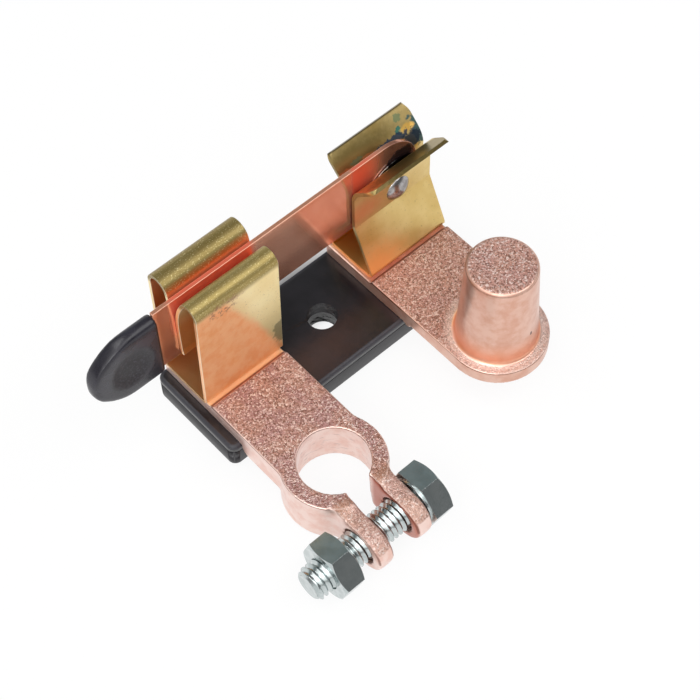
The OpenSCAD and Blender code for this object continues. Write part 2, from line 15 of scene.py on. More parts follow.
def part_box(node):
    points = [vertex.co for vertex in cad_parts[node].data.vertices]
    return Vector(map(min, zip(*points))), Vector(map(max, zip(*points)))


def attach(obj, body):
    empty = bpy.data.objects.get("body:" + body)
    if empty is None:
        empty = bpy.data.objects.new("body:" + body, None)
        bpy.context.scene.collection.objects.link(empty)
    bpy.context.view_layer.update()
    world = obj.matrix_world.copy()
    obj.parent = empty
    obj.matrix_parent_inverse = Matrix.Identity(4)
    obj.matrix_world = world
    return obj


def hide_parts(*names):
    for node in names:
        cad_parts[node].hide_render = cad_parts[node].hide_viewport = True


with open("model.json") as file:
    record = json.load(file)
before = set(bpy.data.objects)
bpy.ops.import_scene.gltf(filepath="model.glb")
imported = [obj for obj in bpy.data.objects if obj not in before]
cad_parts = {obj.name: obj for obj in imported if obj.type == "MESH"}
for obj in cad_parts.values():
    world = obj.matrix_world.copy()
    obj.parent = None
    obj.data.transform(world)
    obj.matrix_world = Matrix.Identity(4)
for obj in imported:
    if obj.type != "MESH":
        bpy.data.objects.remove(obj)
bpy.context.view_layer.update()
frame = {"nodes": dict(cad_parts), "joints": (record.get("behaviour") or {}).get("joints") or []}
print("nodes:", ", ".join(sorted(frame["nodes"])))

# %% [markdown]
# ## The camera
# The view was worked out from the photograph: the corners of the base, the circles of the ring
# and the post, and the hexagons were matched to the known shapes until every point agreed.
# A long lens of 91 mm from 41 cm away gives the mild perspective of a product photograph.
# Writing the camera's three axes as a matrix keeps the small roll that the real camera had.

# %% Stand the camera where the photograph was taken
MM = 0.001
azimuth, elevation, roll = (math.radians(angle) for angle in (-40.69, 57.06, -1.57))
back = Vector((math.sin(azimuth) * math.cos(elevation), -math.cos(azimuth) * math.cos(elevation),
               math.sin(elevation)))
level = Vector((math.cos(azimuth), math.sin(azimuth), 0))
upright = level.cross(-back)
right = math.cos(roll) * level + math.sin(roll) * upright
up = math.cos(roll) * upright - math.sin(roll) * level
camera_data = bpy.data.cameras.new("product_camera")
camera_data.lens, camera_data.sensor_width = 91.07, 36
camera_data.clip_start = 0.01
camera = bpy.data.objects.new("product_camera", camera_data)
bpy.context.scene.collection.objects.link(camera)
camera.matrix_world = Matrix.Translation(Vector((-143.42, -176.28, 343.55)) * MM) @ Matrix(
    (right, up, back)).transposed().to_4x4()
bpy.context.scene.camera = camera
print("camera at", [round(c, 4) for c in camera.matrix_world.translation])

# %% [markdown]
# ## Shader maths as plain expressions
# A finish is easier to read as a formula than as a web of nodes. Field wraps one output socket
# and gives it arithmetic, so `1 - grain * 0.3` adds the Math nodes by itself. Paint holds one
# material, and its node() method adds any other kind of node from its type, settings and sockets.

# %% A socket that can be added and multiplied
class Field:
    """A number, colour or vector that varies over a surface."""

    def __init__(self, paint, socket):
        self.paint, self.socket = paint, socket

    def maths(self, operation, *values):
        return self.paint.node("ShaderNodeMath", {"operation": operation}, dict(enumerate(values)))

    def __add__(self, other):
        return self.maths("ADD", self, other)

    def __sub__(self, other):
        return self.maths("SUBTRACT", self, other)

    def __rsub__(self, other):
        return self.maths("SUBTRACT", other, self)

    def __mul__(self, other):
        return self.maths("MULTIPLY", self, other)

    __radd__, __rmul__ = __add__, __mul__

    def __abs__(self):
        return self.maths("ABSOLUTE", self)

    def at_least(self, other):
        return self.maths("MAXIMUM", self, other)

    def between(self, low, high):
        """0 below low, 1 above high, and a soft step from one to the other."""
        return self.paint.node("ShaderNodeMapRange", {"interpolation_type": "SMOOTHSTEP"},
                               {"Value": self, "From Min": low, "From Max": high})


# %% A material that is built by expressions
def colour(code):
    """The linear colour of a web colour such as "c08a75"."""
    parts = [int(code[i:i + 2], 16) / 255 for i in (0, 2, 4)]
    return tuple(c / 12.92 if c <= 0.04045 else ((c + 0.055) / 1.055) ** 2.4 for c in parts) + (1,)


class Paint:
    """One material, or the room's light. Patterns are measured in millimetres on the object."""

    def __init__(self, name, kind="materials"):
        self.material = getattr(bpy.data, kind).new(name)
        self.material.use_nodes = True
        self.tree = self.material.node_tree
        self.tree.nodes.clear()
        place = self.node("ShaderNodeTexCoord", output="Object")
        self.place = self.node("ShaderNodeVectorMath", {"operation": "SCALE"},
                               {0: place, "Scale": 1 / MM})

    def node(self, kind, settings=None, sockets=None, output=0):
        made = self.tree.nodes.new(kind)
        for key, value in (settings or {}).items():
            if key == "stops":
                for stop, (position, shade) in enumerate(value):
                    if stop > 1:
                        made.color_ramp.elements.new(position)
                    made.color_ramp.elements[stop].position = position
                    made.color_ramp.elements[stop].color = shade
            else:
                setattr(made, key, value)
        for key, value in (sockets or {}).items():
            if isinstance(value, Field):
                self.tree.links.new(value.socket, made.inputs[key])
            else:
                made.inputs[key].default_value = value
        return Field(self, made.outputs[output]) if len(made.outputs) else None

    def stretched(self, x, y, z):
        """The place on the object, with each axis stretched, for brushed and drawn marks."""
        return self.node("ShaderNodeVectorMath", {"operation": "MULTIPLY"},
                         {0: self.place, 1: (x, y, z)})

    def grain(self, per_mm, detail=2.0, rough=0.5, place=None):
        return self.node("ShaderNodeTexNoise", {}, {"Vector": place or self.place, "Scale": per_mm,
                                                    "Detail": detail, "Roughness": rough})

    def axis(self, name, place=None):
        return self.node("ShaderNodeSeparateXYZ", {}, {0: place or self.place}, output=name)

    def away_from(self, point, axes=(1, 1, 0)):
        """The distance to a point in mm, counted along the axes that are given as 1."""
        return self.node("ShaderNodeVectorMath", {"operation": "DISTANCE"},
                         {0: self.stretched(*axes), 1: point}, output="Value")

    def spot(self, centre, radii, ragged=2.0, core=0.75):
        """1 inside an uneven patch round a point, and 0 outside it. A small core fades slowly."""
        offset = self.node("ShaderNodeVectorMath", {"operation": "SUBTRACT"}, {0: self.place, 1: centre})
        offset = self.node("ShaderNodeVectorMath", {"operation": "DIVIDE"}, {0: offset, 1: radii})
        reach = self.node("ShaderNodeVectorMath", {"operation": "LENGTH"}, {0: offset}, output="Value")
        # A little beyond its radii the patch has gone
        return 1 - (reach + (self.grain(0.9, 3, 0.6) - 0.5) * ragged).between(core, 1.1)

    def facing(self, name):
        """How far the surface faces along an axis, from -1 to 1."""
        normal = self.node("ShaderNodeNewGeometry", output="Normal")
        return self.node("ShaderNodeSeparateXYZ", {}, {0: normal}, output=name)

    def mark(self, name):
        """A number that a mesh carries on its corners or vertices."""
        return self.node("ShaderNodeAttribute", {"attribute_name": name}, output="Fac")

    def blend(self, amount, first, second):
        """The first colour where the amount is 0, and the second where it is 1."""
        settings = {"data_type": "RGBA", "blend_type": "MIX", "clamp_factor": True}
        return self.node("ShaderNodeMix", settings, {0: amount, 6: first, 7: second}, output=2)

    def bump(self, height, distance_mm):
        return self.node("ShaderNodeBump", {}, {"Height": height, "Distance": distance_mm * MM})

    def done(self, **sockets):
        """Ends the material in one shader, whose sockets are named with underscores for spaces."""
        shader = self.node("ShaderNodeBsdfPrincipled", {},
                           {key.replace("_", " "): value for key, value in sockets.items()})
        self.node("ShaderNodeOutputMaterial", {}, {"Surface": shader})
        print("finish:", self.material.name, "with", len(self.tree.nodes), "nodes")
        return self.material


# %% [markdown]
# ## Turning a CAD node into something that can be rounded
# A CAD node arrives as loose triangles with razor edges, and nothing real has those. An edge of
# sheet brass is rounded by a tenth of a millimetre, and the base's rim by almost one. Welding a
# copy and merging its flat triangles gives whole faces, so that a bevel can run along true edges.
# The bevel's own faces are marked, so that a finish can paint the edges apart from the rest, with wear
# and with painted highlights and reflections.

# %% Copy, weld and bevel
def welded(node, weld_mm=0.004):
    """A bmesh of a CAD node whose triangles are joined into whole faces."""
    shape = bmesh.new()
    shape.from_mesh(frame["nodes"][node].data)
    bmesh.ops.remove_doubles(shape, verts=shape.verts, dist=weld_mm * MM)
    bmesh.ops.dissolve_limit(shape, angle_limit=math.radians(0.5), verts=shape.verts,
                             edges=shape.edges)
    return shape


def rounded(shape, radius_mm, segments=2, sharp=28, chosen=None, clamp=True):
    """Rounds edges sharper than so many degrees that chosen() allows, and marks the new faces."""
    edges = [e for e in shape.edges if e.is_manifold and e.calc_face_angle() > math.radians(sharp)
             and (chosen is None or chosen(e))]
    made = bmesh.ops.bevel(shape, geom=edges, offset=radius_mm * MM, segments=segments, profile=0.5,
                           affect="EDGES", material=-1, clamp_overlap=clamp)
    edge = shape.loops.layers.float.new("edge")
    for face in made["faces"]:
        for corner in face.loops:
            corner[edge] = 1
    return shape


def add_piece(shape, name, body, finish, stands_for, weighted=True):
    """Makes an object of a bmesh, gives it its finish and sets it on its body."""
    mesh = bpy.data.meshes.new(name)
    shape.to_mesh(mesh)
    shape.free()
    mesh.polygons.foreach_set("use_smooth", [True] * len(mesh.polygons))
    mesh.materials.append(finish)
    piece = bpy.data.objects.new(name, mesh)
    bpy.context.scene.collection.objects.link(piece)
    if weighted:
        # Large faces set the normals of the corners they share with a bevel, so flats look flat
        piece.modifiers.new("flat_faces", "WEIGHTED_NORMAL").keep_sharp = True
    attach(piece, body)
    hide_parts(stands_for)
    print(f"{name}: {len(mesh.polygons)} faces on {body}")


# %% [markdown]
# ## Giving a casting its skin
# Molten metal never fills a sharp corner. The arms have soft rims and small hollows where two
# forms meet, and no bevel handles the ring, the ears and the post at once. A voxel remesh wraps
# the whole form in an even net, and a few smoothing passes melt its edges alike. How far a point
# moved inwards tells how much of an edge it was, so that number is kept as the edge mark, which
# the finish uses for wear and for the painted highlight and shade on the rims.

# %% Remesh and melt
# A point that moves this far inwards is marked as a full edge
FULL_EDGE = 0.07 * MM


def melt(shape, verts, passes=1):
    """Moves each point halfway to the middle of its neighbours."""
    for _ in range(passes):
        bmesh.ops.smooth_vert(shape, verts=verts, factor=0.5, use_axis_x=True, use_axis_y=True,
                              use_axis_z=True)


def cast(node, net_mm, passes, softer=None, more=0):
    """A bmesh of a CAD node as an even net, melted, and melted more where softer() says so."""
    shape = welded(node)
    rough = bpy.data.meshes.new("rough_" + node)
    shape.to_mesh(rough)
    shape.free()
    holder = bpy.data.objects.new("rough_" + node, rough)
    bpy.context.scene.collection.objects.link(holder)
    net = holder.modifiers.new("net", "REMESH")
    net.mode, net.voxel_size = "VOXEL", net_mm * MM
    wrapped = holder.evaluated_get(bpy.context.evaluated_depsgraph_get())
    even = bpy.data.meshes.new_from_object(wrapped)
    shape = bmesh.new()
    shape.from_mesh(even)
    bpy.data.objects.remove(holder)
    bpy.data.meshes.remove(rough)
    bpy.data.meshes.remove(even)
    before = [v.co.copy() for v in shape.verts]
    melt(shape, shape.verts, passes)
    shape.normal_update()
    edge = shape.verts.layers.float.new("edge")
    for vert, start in zip(shape.verts, before):
        vert[edge] = min(1, max(0, (start - vert.co).dot(vert.normal) / FULL_EDGE))
    for _ in range(more):
        melt(shape, [v for v in shape.verts if softer(v.co)])
    return shape


# %% [markdown]
# ## Copper-plated castings
# Both arms are sand-textured castings under a thin copper plate. Their top faces are pinkish
# brown and granular, with dark specks and bright ones that are partly painted glints. The sides
# slid out of the mould, so they are smoother and paler. The rims carry a painted highlight over
# real rubbing, with a painted shade as a dark line below, and the post's foot, the gap between the
# ears and the jaw's seat carry painted reflections and shade. One finish does all of it: it reads
# how far the surface faces up, and mixes the skins by that. The first cell makes the sandy skin,
# the second the smooth one, and the third lays them over the casting.

# %% The sandy skin of the top faces
# Places in mm: the middles of the post, the ring and the gap, the heights of the arms' tops and of
# the seats under the clips, and where along Y the seats and the ears begin
POST_AXIS, RING_AXIS, GAP_MIDDLE = (24.7, -31.4, 0), (-24.7, -31.9, 0), (-24.7, 0, 0)
ARM_TOP, SEAT_TOP, SEATS_FROM, EARS_FROM = 11.8, 10.9, -13, -40.5


def sandy_skin(paint, fine, lumps, sand, ear, post_side):
    """Pinkish brown in large patches, with pale lumps, dark specks, and bright specks that are partly
    pale grains and partly painted glints.
    """
    patch, speckle = paint.grain(0.16, 2), sand * 0.6 + fine * 0.8
    skin = paint.blend(patch.between(0.4, 0.62), colour("c39689"), colour("b98e8b"))
    skin = paint.blend(post_side * 0.5, skin, colour("d8a08c"))
    skin = paint.blend(lumps.between(0.5, 0.68) * 0.4, skin, colour("e2bbad"))
    skin = paint.blend(ear * 0.45, skin, colour("ecc4b0"))
    # Bright specks: partly pale grains, partly painted glints
    skin = paint.blend(speckle.between(0.78, 1.0) * 0.8, skin, colour("f8e4dc"))
    dark = 1 - speckle.between(0.42, 0.62)
    skin = paint.blend(dark * (0.8 - ear * 0.35), skin, colour("805848"))
    # The slope up to each ear is browner
    along_y = paint.axis("Y")
    slope = along_y.between(-43.2, -41.6) * (1 - along_y.between(-40.4, -39.4))
    return paint.blend(slope * 0.45, skin, colour("94603f"))


print("post, ring and gap at", POST_AXIS, RING_AXIS, GAP_MIDDLE)


# %% The smooth skin of the sides
def smooth_skin(paint, drawn, foot, ear, seats, post_side):
    """Pale where the mould drew it smooth, with the post and the bore in their own tones, and painted
    reflections, highlights and shade at the post's foot, in the gap and at the seats' steps.
    """
    up_z = paint.axis("Z")
    side = paint.blend(drawn.between(0.38, 0.68), colour("f3d6cc"), colour("eac0b2"))
    # Low down the post has a painted warm reflection of the arm's copper, a painted highlight as a pale
    # ring round its foot, and one old scratch
    post_tone = paint.blend(drawn.between(0.35, 0.7), colour("e2b9a7"), colour("d6a28c"))
    warm_reflection = (1 - foot.between(10.0, 10.6)) * (1 - up_z.between(13, 20))
    post_tone = paint.blend(warm_reflection * 0.65, post_tone, colour("f2a27c"))
    ring_highlight = foot.between(9.6, 10.2) * (1 - foot.between(11.4, 11.8))
    post_tone = paint.blend(ring_highlight * 0.8, post_tone, colour("fbe2d6"))
    scratch = paint.spot((26.0, -40.3, 18.8), (0.35, 1, 0.6), 0.6)
    post_tone = paint.blend(scratch * 0.9, post_tone, colour("4a3430"))
    side = paint.blend(post_side, side, post_tone)
    # The faces of the gap between the ears are painted redder and darker, a painted shade and reflection
    # between them, and the drill left fine rings in the bore
    gap_shade = (1 - paint.away_from(GAP_MIDDLE, (1, 0, 0)).between(3.5, 4.2)) * ear
    side = paint.blend(gap_shade * 0.95, side, colour("b8705e"))
    drilled = paint.grain(0.8, 4, 0.6, paint.stretched(0.45, 0.45, 2.4)).between(0.58, 0.66)
    drilled = drilled * (1 - paint.away_from(RING_AXIS).between(8.8, 9.2))
    side = paint.blend(drilled * 0.35, side, colour("8a6660"))
    # The step up from each clip's seat is painted dark, a painted shade under the clip's bend
    step_shade = seats * up_z.between(SEAT_TOP + 0.08, SEAT_TOP + 0.25)
    step_shade = step_shade * (1 - up_z.between(ARM_TOP - 0.3, ARM_TOP - 0.1))
    return paint.blend(step_shade * 0.75, side, colour("8c4a34"))


# %% The cast finish
def cast_copper():
    paint = Paint("cast_copper")
    fine, lumps, drawn = paint.grain(3.4, 2, 0.6), paint.grain(1.1, 2, 0.5), paint.grain(0.3, 3, 0.6)
    sand = paint.node("ShaderNodeTexVoronoi", {}, {"Vector": paint.place, "Scale": 2.9}, output="Color")
    sand = paint.axis("X", sand)
    foot, up_z, along_y = paint.away_from(POST_AXIS), paint.axis("Z"), paint.axis("Y")
    ear = 1 - along_y.between(EARS_FROM - 1, EARS_FROM + 1)
    seats = along_y.between(SEATS_FROM - 1, SEATS_FROM + 1)
    post_side = paint.axis("X").between(-2, 2)
    # Sandy where it faces up, but not in the clips' seats or on the ring round the post's foot
    lean = paint.facing("Z")
    top = (lean + ear * 0.4 + (lumps - 0.5) * 0.08).between(0.88, 0.965)
    top = top * (1 - (1 - up_z.between(ARM_TOP - 0.5, ARM_TOP - 0.2)) * seats)
    top = top * (1 - (1 - foot.between(9.8, 10.3)) * (1 - up_z.between(30, 31)))
    skin = sandy_skin(paint, fine, lumps, sand, ear, post_side)
    # A pale ring round the post's foot, a painted highlight
    pale_ring_highlight = foot.between(9.4, 10.0) * (1 - foot.between(10.6, 12.8)) * (1 - up_z.between(14, 16))
    skin = paint.blend(pale_ring_highlight * 0.55, skin, colour("fbe6dc"))
    whole = paint.blend(top, smooth_skin(paint, drawn, foot, ear, seats, post_side), skin)
    # Rims get a painted highlight above, over real rubbing, and a painted shade as a dark line below and
    # behind
    rim, under = paint.mark("edge").between(0.15, 0.9), paint.mark("edge").between(0.06, 0.45)
    whole = paint.blend(rim * lean.between(0.5, 0.75) * 0.7, whole, colour("f7d9cd"))
    below = under * lean.between(0.0, 0.12) * (1 - lean.between(0.35, 0.6))
    whole = paint.blend(below * 0.75, whole, colour("70402f"))
    whole = paint.blend(under * paint.facing("Y").between(0.1, 0.5) * 0.65, whole, colour("6c4434"))
    # The jaw's seat gets a painted reflection of the brass above it
    seat_reflection = (1 - up_z.between(SEAT_TOP + 0.1, SEAT_TOP + 0.4)) * seats
    seat_reflection = seat_reflection * lean.between(0.5, 0.9) * (1 - post_side)
    whole = paint.blend(seat_reflection * 0.8, whole, colour("ffd49c"))
    height = top * (fine * 0.9 + sand * 0.25 + lumps * 0.8) + (1 - top) * (drawn * 0.3 + fine * 0.08)
    return paint.done(Base_Color=whole, Metallic=0.7 - seat_reflection * 0.35, Roughness=0.3 + top * 0.1,
                      Normal=paint.bump(height, 0.26))


arm_finish = cast_copper()

# %% Cast both arms
bolt_axis = Vector(next(j for j in frame["joints"] if j["name"] == "bolt_turn")["pos_m"])
EAR_START, HOLE_RIM = -39.8 * MM, 4.6 * MM


def on_an_ear(co):
    """True on the rounded ears, but not close to the bolt's hole."""
    return co.y < EAR_START and math.hypot(co.y - bolt_axis.y, co.z - bolt_axis.z) > HOLE_RIM


add_piece(cast("clamp_arm", net_mm=0.26, passes=3, softer=on_an_ear, more=48), "cast_clamp_arm",
          "base", arm_finish, "clamp_arm", weighted=False)
add_piece(cast("post_arm", net_mm=0.26, passes=3), "cast_post_arm", "base",
          arm_finish, "post_arm", weighted=False)

# %% [markdown]
# ## The moulded base
# The base is a black phenolic moulding with a soft gloss. A parting groove runs round its side.
# Only the outer rims are rounded here, because the groove's own edges are crisp on the real one.

# %% The base finish and piece
def black_moulding():
    paint = Paint("black_moulding")
    haze = paint.grain(0.12, 3, 0.6)
    flow = paint.grain(1.0, 2, place=paint.stretched(0.08, 0.6, 0.6))
    ripple = paint.grain(0.45, 3, 0.6)
    # The rear side is duller than the rest
    rear = paint.axis("Y").between(12.0, 12.7)
    tone = paint.blend(haze.between(0.3, 0.7), colour("151317"), colour("1f1d22"))
    # Rounded rims are painted paler, a painted sheen
    tone = paint.blend(paint.mark("edge") * 0.7, tone, colour("38373e"))
    rough = 0.24 + haze * 0.14 + rear * 0.4 + paint.mark("edge") * 0.14
    return paint.done(Base_Color=tone, Roughness=rough, Specular_IOR_Level=0.55,
                      Normal=paint.bump(flow * 0.3 + ripple, 0.05))


base_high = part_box("base_plate")[1]
# The corners' radius with a little to spare, and how near two heights must be to count as one
CORNER, SAME = 2.1 * MM, 0.001 * MM


def on_outer_rim(edge):
    """True for an edge of the top or bottom outline, corners too, but not for one of the hole."""
    return all((abs(v.co.z) < SAME or abs(v.co.z - base_high.z) < SAME)
               and (abs(v.co.x) > base_high.x - CORNER or abs(v.co.y) > base_high.y - CORNER)
               for v in edge.verts)


base_shape = rounded(welded("base_plate"), 0.9, segments=4, sharp=60, chosen=on_outer_rim, clamp=False)
add_piece(base_shape, "moulded_base", "base", black_moulding(), "base_plate")

# %% [markdown]
# ## Sheet brass
# Each clip is one folded strip of spring brass. Rolled sheet is nearly a mirror, broken by fine
# lines along the rolling direction, faint blotches of tarnish and a few scratches. The cut edges
# carry a painted reflection, pale where they face sideways and dark where they face up. Each clip is
# marked in its own way: the jaw's front wall is rosy below a slanting line, a painted reflection of
# the copper arm, and its rolls are dull and painted darker as painted shade; the hinge clip's rear
# lip has dark stains from sparks, and its front wall painted reflections of the copper arm. Those
# stains and reflections are rows of a table, so that one loop can paint them all.

# %% Marks of use and painted reflections on the jaw clip
# The blade's mid-plane, which both clips share, in mm
CLIP_Y = 5.2


def jaw_marks(paint, tone, blotch, roll):
    """The jaw's tone with its marks and painted reflections, where its inner faces are, and where it is
    rosy with a painted reflection of the copper arm.
    """
    up_z, along_y = paint.axis("Z"), paint.axis("Y")
    front = 1 - along_y.between(-1.9, -1.5)
    inside = (1 - front) * (1 - along_y.between(11.9, 12.3)) * (1 - up_z.between(33, 42))
    # Below a slanting line the front wall is rosy, a painted reflection of the copper arm, mottled by
    # clouds
    slant = up_z + paint.axis("X") * 1.93 + (blotch - 0.5) * 9
    rosy_reflection = (1 - slant.between(-14, -8.5)) * front * (1 - roll)
    clouds = paint.grain(0.3, 4, 0.65).between(0.38, 0.66)
    tone = paint.blend(rosy_reflection * 0.75, tone, paint.blend(clouds, colour("ffba84"), colour("f89c5e")))
    # The rear leaf is painted redder where it faces the blade, a painted reflection of the copper
    leaf_reflection = along_y.between(CLIP_Y, CLIP_Y + 0.4) * (1 - paint.facing("Y").between(-0.95, -0.68))
    tone = paint.blend(leaf_reflection * 0.6, tone, colour("e4602a"))
    # Grime low at one end of the slanting line and high at the other, and the rear roll painted darker,
    # a painted shade
    low_grime = paint.spot((-13.6, -2.8, 19), (2.6, 2, 4.5), 1.4)
    tone = paint.blend(low_grime * 0.6, tone, colour("6c6444"))
    tone = paint.blend(roll * along_y.between(6, 8) * 0.35, tone, colour("5c4a20"))
    high_grime = paint.spot((-28, -2.8, 42.6), (5, 2.5, 2.6), 0.8)
    high_grime = high_grime * paint.grain(1.4, 3, 0.6).between(0.5, 0.62)
    return paint.blend(high_grime * 0.6, tone, colour("8a564c")), inside, rosy_reflection


print(f"both clips stand round Y = {CLIP_Y} mm")


# %% Marks of use and painted reflections on the hinge clip
# Centre and reach in mm, unevenness, colour, strength, and whether the patch dulls the metal too
WARM_FOOT_REFLECTION = ((15.0, -2.0, 12.0), (13, 6, 11), 0.2)
STAINS = (
    # A painted reflection of the copper arm low on the front wall
    (*WARM_FOOT_REFLECTION, "ffa860", 0.9, False),
    ((20, 10, 40), (19, 6, 6.5), 0.3, "6e5e32", 0.9, False),
    ((29, 0.4, 41.6), (15, 4.4, 4.8), 0.5, "7c6c3a", 0.8, False),
    # A painted reflection of the copper arm on the front wall
    ((16, 2, 29), (8.5, 4, 5.5), 0.3, "f0986c", 0.7, False),
    ((22.3, 8.3, 39.1), (2.4, 0.7, 0.7), 2.0, "d88a58", 0.6, False),
    ((15.5, 8.2, 39.0), (3.0, 0.7, 0.7), 2.0, "d88a58", 0.5, False),
    ((19.0, 8.8, 39.7), (1.6, 0.6, 0.6), 2.5, "4c5a3c", 0.7, True),
    ((32.7, 10.8, 41.5), (1.0, 0.9, 0.9), 2.5, "3f6a4c", 0.7, True),
    ((36.2, 7.6, 37.9), (1.5, 3.8, 4.4), 2.0, "1a4c50", 0.95, True),
    ((31.8, 8.9, 39.7), (0.9, 1.1, 1.1), 2.0, "1f6a5c", 0.95, True),
    ((34.0, 8.5, 39.4), (2.2, 1.0, 1.0), 1.0, "f0c060", 0.9, False),
    ((29.0, 7.9, 38.8), (6.0, 1.1, 1.1), 2.4, "142c42", 0.95, True),
    ((33.6, 6.9, 37.0), (3.2, 1.7, 2.2), 1.4, "10202f", 0.97, True),
)
# The core of an even patch, which fades from near its middle, and of a ragged one with a clear rim
FADING, SOLID = 0.2, 0.75
# The lips flare by 46 degrees, and this is how far they reach along that slope, in mm
FLARE_SIN, FLARE_COS = 0.719, 0.695
lip_end = max(FLARE_SIN * abs(v.co.y / MM - CLIP_Y) + FLARE_COS * v.co.z / MM
              for v in frame["nodes"]["hinge_clip"].data.vertices)
print(f"{len(STAINS)} stains, and lips that reach {lip_end:.2f} mm")


def hinge_marks(paint, tone, rough, metal):
    """The hinge clip's tone, roughness and metal with its stains, its painted reflections of the copper
    arm, and the ends of its lips painted dark as a painted reflection of the dim room.
    """
    for centre, radii, ragged, shade, strength, dulls in STAINS:
        patch = paint.spot(centre, radii, ragged, FADING if ragged < 0.5 else SOLID) * strength
        tone = paint.blend(patch, tone, colour(shade))
        if dulls:
            rough, metal = rough + patch * 0.3, metal - patch * 0.6
    metal = (metal - paint.spot(*WARM_FOOT_REFLECTION, FADING) * 0.35).at_least(0.1)
    # A lip's end faces along its slope and is painted dark, a painted reflection of the dim room. Side
    # is -1 on the front lip and 1 on the rear one
    up_z, along_y = paint.axis("Z"), paint.axis("Y")
    side = along_y.between(CLIP_Y - 0.1, CLIP_Y + 0.1) * 2 - 1
    flat = paint.facing("Z") * FLARE_SIN - paint.facing("Y") * side * FLARE_COS
    ended = up_z.between(37, 38) * (1 - abs(flat).between(0.3, 0.6))
    ended = ended * paint.facing("X").between(-0.9, -0.7)
    reach = side * (along_y - CLIP_Y) * FLARE_SIN + up_z * FLARE_COS
    ended = ended.at_least(reach.between(lip_end - 0.5, lip_end - 0.15))
    return paint.blend(ended * (0.6 + side * 0.2), tone, colour("3c3424")), rough, metal


# %% The brass finishes
def sheet_brass(name, light, deep, inner_reflection, hinge=False):
    paint = Paint(name)
    rolling = paint.grain(2.0, 3, 0.6, paint.stretched(0.05, 2.0, 2.0))
    blotch = paint.grain(0.12, 3, 0.6)
    specks = paint.grain(2.2, 3, 0.65).between(0.62, 0.7)
    scratches = paint.grain(1.2, 4, 0.7, paint.stretched(1.4, 0.25, 0.25)).between(0.66, 0.7)
    tone = paint.blend(blotch.between(0.3, 0.75), colour(light), colour(deep))
    tone = paint.blend(specks * 0.45, tone, colour("7a5c2c"))
    # The rolls are worn rougher and painted darker olive, a painted shade for the dim room they mirror
    up_z = paint.axis("Z")
    roll = up_z.between(42.5, 44.6)
    tone = paint.blend(roll * (0.7 + rolling * 0.3), tone, colour("8a7638"))
    if hinge:
        inside = (paint.facing("Y") * (CLIP_Y - paint.axis("Y"))).between(0.2, 1.0)
        inside = inside * (1 - up_z.between(26, 31)) + (1 - up_z.between(11.9, 12.3))
        metal = 0.88 - specks * 0.3
    else:
        tone, inside, rosy_reflection = jaw_marks(paint, tone, blotch, roll)
        metal = 0.68 - specks * 0.3 - rosy_reflection * 0.12 + inside * 0.2
    # Inner faces of the folds get a painted orange reflection of the copper blade
    tone = paint.blend(inside * 0.6, tone, colour(inner_reflection))
    # Cut edges carry a painted reflection: cream where they face sideways and dark where they face up to
    # the dim room
    edge, upward = paint.mark("edge"), paint.facing("Z").between(0.3, 0.6)
    tone = paint.blend(edge * (1 - upward) * 0.7, tone, colour("f6ead0"))
    tone = paint.blend(edge * upward * 0.7, tone, colour("6c5c48"))
    # Painted glints on the rolls
    sparkle = paint.grain(3.0, 2, 0.7).between(0.58, 0.68)
    tone = paint.blend(sparkle * roll * 0.6, tone, colour("ece0a8"))
    rough = 0.26 + rolling * 0.1 + scratches * 0.1 + roll * (0.08 + specks * 0.2)
    if hinge:
        tone, rough, metal = hinge_marks(paint, tone, rough, metal)
    return paint.done(Base_Color=tone, Metallic=metal, Roughness=rough,
                      Normal=paint.bump(rolling * 0.4 + scratches + specks, 0.012))


jaw_finish = sheet_brass("jaw_brass", "fae6b0", "f2d89a", "dc8c3e")
hinge_finish = sheet_brass("hinge_brass", "e2c888", "d2b26c", "e89a3a", hinge=True)

# %% Round the edges of both clips
for node, slot, finish in (("jaw_clip", "jaw_brass", jaw_finish),
                           ("hinge_clip", "hinge_brass", hinge_finish)):
    # A wider weld joins the shortest edges of the bends, which would limit the bevel
    clip = rounded(welded(node, weld_mm=0.03), 0.1, sharp=50)
    add_piece(clip, "folded_" + node, "base", finish, node)

# %% [markdown]
# ## The copper blade
# The blade is stamped from sheet copper and polished. Opening and closing rubs long fine lines
# into it, and its edges carry a painted highlight. It is redder high up where the clips rub it and
# where it gets a painted reflection of the red glow between the leaves, browner along its lower edge
# as a painted reflection of the dark base, browner round the hinge, and darkest behind the hinge
# clip's front lip.

